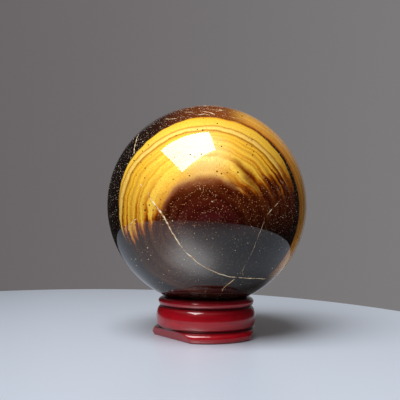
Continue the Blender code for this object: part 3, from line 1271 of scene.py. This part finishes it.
# %% Ring: sweep the section
FRONT_FLAT_FACING = math.radians(219.0)
FRONT_FLAT_LEAN = math.radians(28.0)
FRONT_FLAT_DEPTH = 3.3 * MM
SIDE_FLAT_FACING = math.radians(-11.0)
SIDE_FLAT_LEAN = math.radians(15.0)
SIDE_FLAT_DEPTH = 2.0 * MM
TURN_STEPS = 320

ring_settings = {
    "Path radius": BORE_RADIUS,
    "Turn steps": TURN_STEPS,
    "Front flat facing": Vector((math.cos(FRONT_FLAT_FACING), math.sin(FRONT_FLAT_FACING), 0.0)),
    "Front flat reach": FOOT_RADIUS - FRONT_FLAT_DEPTH,
    "Front flat lean": FRONT_FLAT_LEAN,
    "Side flat facing": Vector((math.cos(SIDE_FLAT_FACING), math.sin(SIDE_FLAT_FACING), 0.0)),
    "Side flat reach": FOOT_RADIUS - SIDE_FLAT_DEPTH,
    "Side flat lean": SIDE_FLAT_LEAN,
    "Edge softness": 0.3 * MM,
    "Lacquer wave length": 5.0 * MM,
    "Lacquer wave height": 0.10 * MM,
    "Finish": lacquer,
}
ring_tree = new_tree("lathe with flats", ring_settings)
given = add_node(ring_tree, "NodeGroupInput").outputs
section_curve = add_node(
    ring_tree, "GeometryNodeMeshToCurve", {"Mesh": given["Geometry"]}
).outputs[0]
circle = add_node(
    ring_tree, "GeometryNodeCurvePrimitiveCircle",
    {"Resolution": given["Turn steps"], "Radius": given["Path radius"]},
).outputs["Curve"]
turned = add_node(
    ring_tree, "GeometryNodeCurveToMesh", {"Curve": circle, "Profile Curve": section_curve}
).outputs["Mesh"]
print(f"Tree {ring_tree.name} with {len(ring_tree.interface.items_tree)} sockets")

# %% Ring: trim the two flats
SMALLEST_TURN = 0.2

for side in ("Front flat", "Side flat"):
    spot = add_node(ring_tree, "GeometryNodeInputPosition").outputs[0]
    parts = add_node(ring_tree, "ShaderNodeSeparateXYZ", {0: spot}).outputs
    level = add_node(
        ring_tree, "ShaderNodeVectorMath", {0: spot, 1: (1.0, 1.0, 0.0)}, operation="MULTIPLY"
    ).outputs["Vector"]
    radius = add_node(ring_tree, "ShaderNodeVectorMath", {0: level}, operation="LENGTH").outputs[1]
    towards = add_node(
        ring_tree, "ShaderNodeVectorMath", {0: level, 1: given[f"{side} facing"]},
        operation="DOT_PRODUCT",
    ).outputs["Value"]
    turn_off = add_node(
        ring_tree, "ShaderNodeMath", {0: towards, 1: radius}, operation="DIVIDE"
    ).outputs[0]
    turn_off = add_node(
        ring_tree, "ShaderNodeMath", {0: turn_off, 1: SMALLEST_TURN}, operation="MAXIMUM"
    ).outputs[0]
    slope = add_node(
        ring_tree, "ShaderNodeMath", {0: given[f"{side} lean"]}, operation="TANGENT"
    ).outputs[0]
    plane = add_node(
        ring_tree, "ShaderNodeMath", {0: parts["Z"], 1: slope, 2: given[f"{side} reach"]},
        operation="MULTIPLY_ADD",
    ).outputs[0]
    limit = add_node(
        ring_tree, "ShaderNodeMath", {0: plane, 1: turn_off}, operation="DIVIDE"
    ).outputs[0]
    drawn_in = add_node(
        ring_tree, "ShaderNodeMath", {0: radius, 1: limit, 2: given["Edge softness"]},
        operation="SMOOTH_MIN",
    ).outputs[0]
    share = add_node(
        ring_tree, "ShaderNodeMath", {0: drawn_in, 1: radius}, operation="DIVIDE"
    ).outputs[0]
    scaling = add_node(
        ring_tree, "ShaderNodeCombineXYZ", {"X": share, "Y": share, "Z": 1.0}
    ).outputs["Vector"]
    trimmed = add_node(
        ring_tree, "ShaderNodeVectorMath", {0: spot, 1: scaling}, operation="MULTIPLY"
    ).outputs["Vector"]
    turned = add_node(
        ring_tree, "GeometryNodeSetPosition", {"Geometry": turned, "Position": trimmed}
    ).outputs["Geometry"]
    print("Trimmed:", side)

# %% Ring: the lacquer's unevenness
UNDERSIDE_HEIGHT = 0.2 * MM

spot = add_node(ring_tree, "GeometryNodeInputPosition").outputs[0]
height = add_node(ring_tree, "ShaderNodeSeparateXYZ", {0: spot}).outputs["Z"]
off_floor = add_node(
    ring_tree, "ShaderNodeMath", {0: height, 1: UNDERSIDE_HEIGHT}, operation="GREATER_THAN"
).outputs[0]
facing = add_node(ring_tree, "GeometryNodeInputNormal").outputs[0]
uneven = wavy(
    ring_tree, turned, facing, given["Lacquer wave length"], given["Lacquer wave height"],
    detail=2.0, still=0.5, share=off_floor,
)
end_tree(ring_tree, uneven, given["Finish"])

# %% [markdown]
# The section becomes the tree's start mesh: its x runs out from the path circle and its y runs
# down, because that is how the sweep lays a profile on a circle.

# %% Ring: the piece
MERGE_DISTANCE = 0.002 * MM

section_mesh = bpy.data.meshes.new("ring section")
section_mesh.from_pydata(
    [(radius - BORE_RADIUS, -height, 0.0) for radius, height in section],
    [(index, (index + 1) % len(section)) for index in range(len(section))],
    [],
)
lacquered_ring = grow("lacquered_ring", section_mesh, ring_tree, ring_settings)
shape = bmesh.new()
shape.from_mesh(lacquered_ring.data)
bmesh.ops.remove_doubles(shape, verts=shape.verts, dist=MERGE_DISTANCE)
bmesh.ops.recalc_face_normals(shape, faces=shape.faces)
shape.to_mesh(lacquered_ring.data)
shape.free()

# %% [markdown]
# Each piece now rides with the one body and hides the plain solid that it stands for.

# %% Fit the pieces to the frame
for piece, node, slot in (
    (polished_ball, "stone_sphere", "stone"),
    (lacquered_ring, "ring_stand", "lacquered_wood"),
):
    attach(piece, "root")
    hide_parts(node)

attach(quartz_veins, "root")
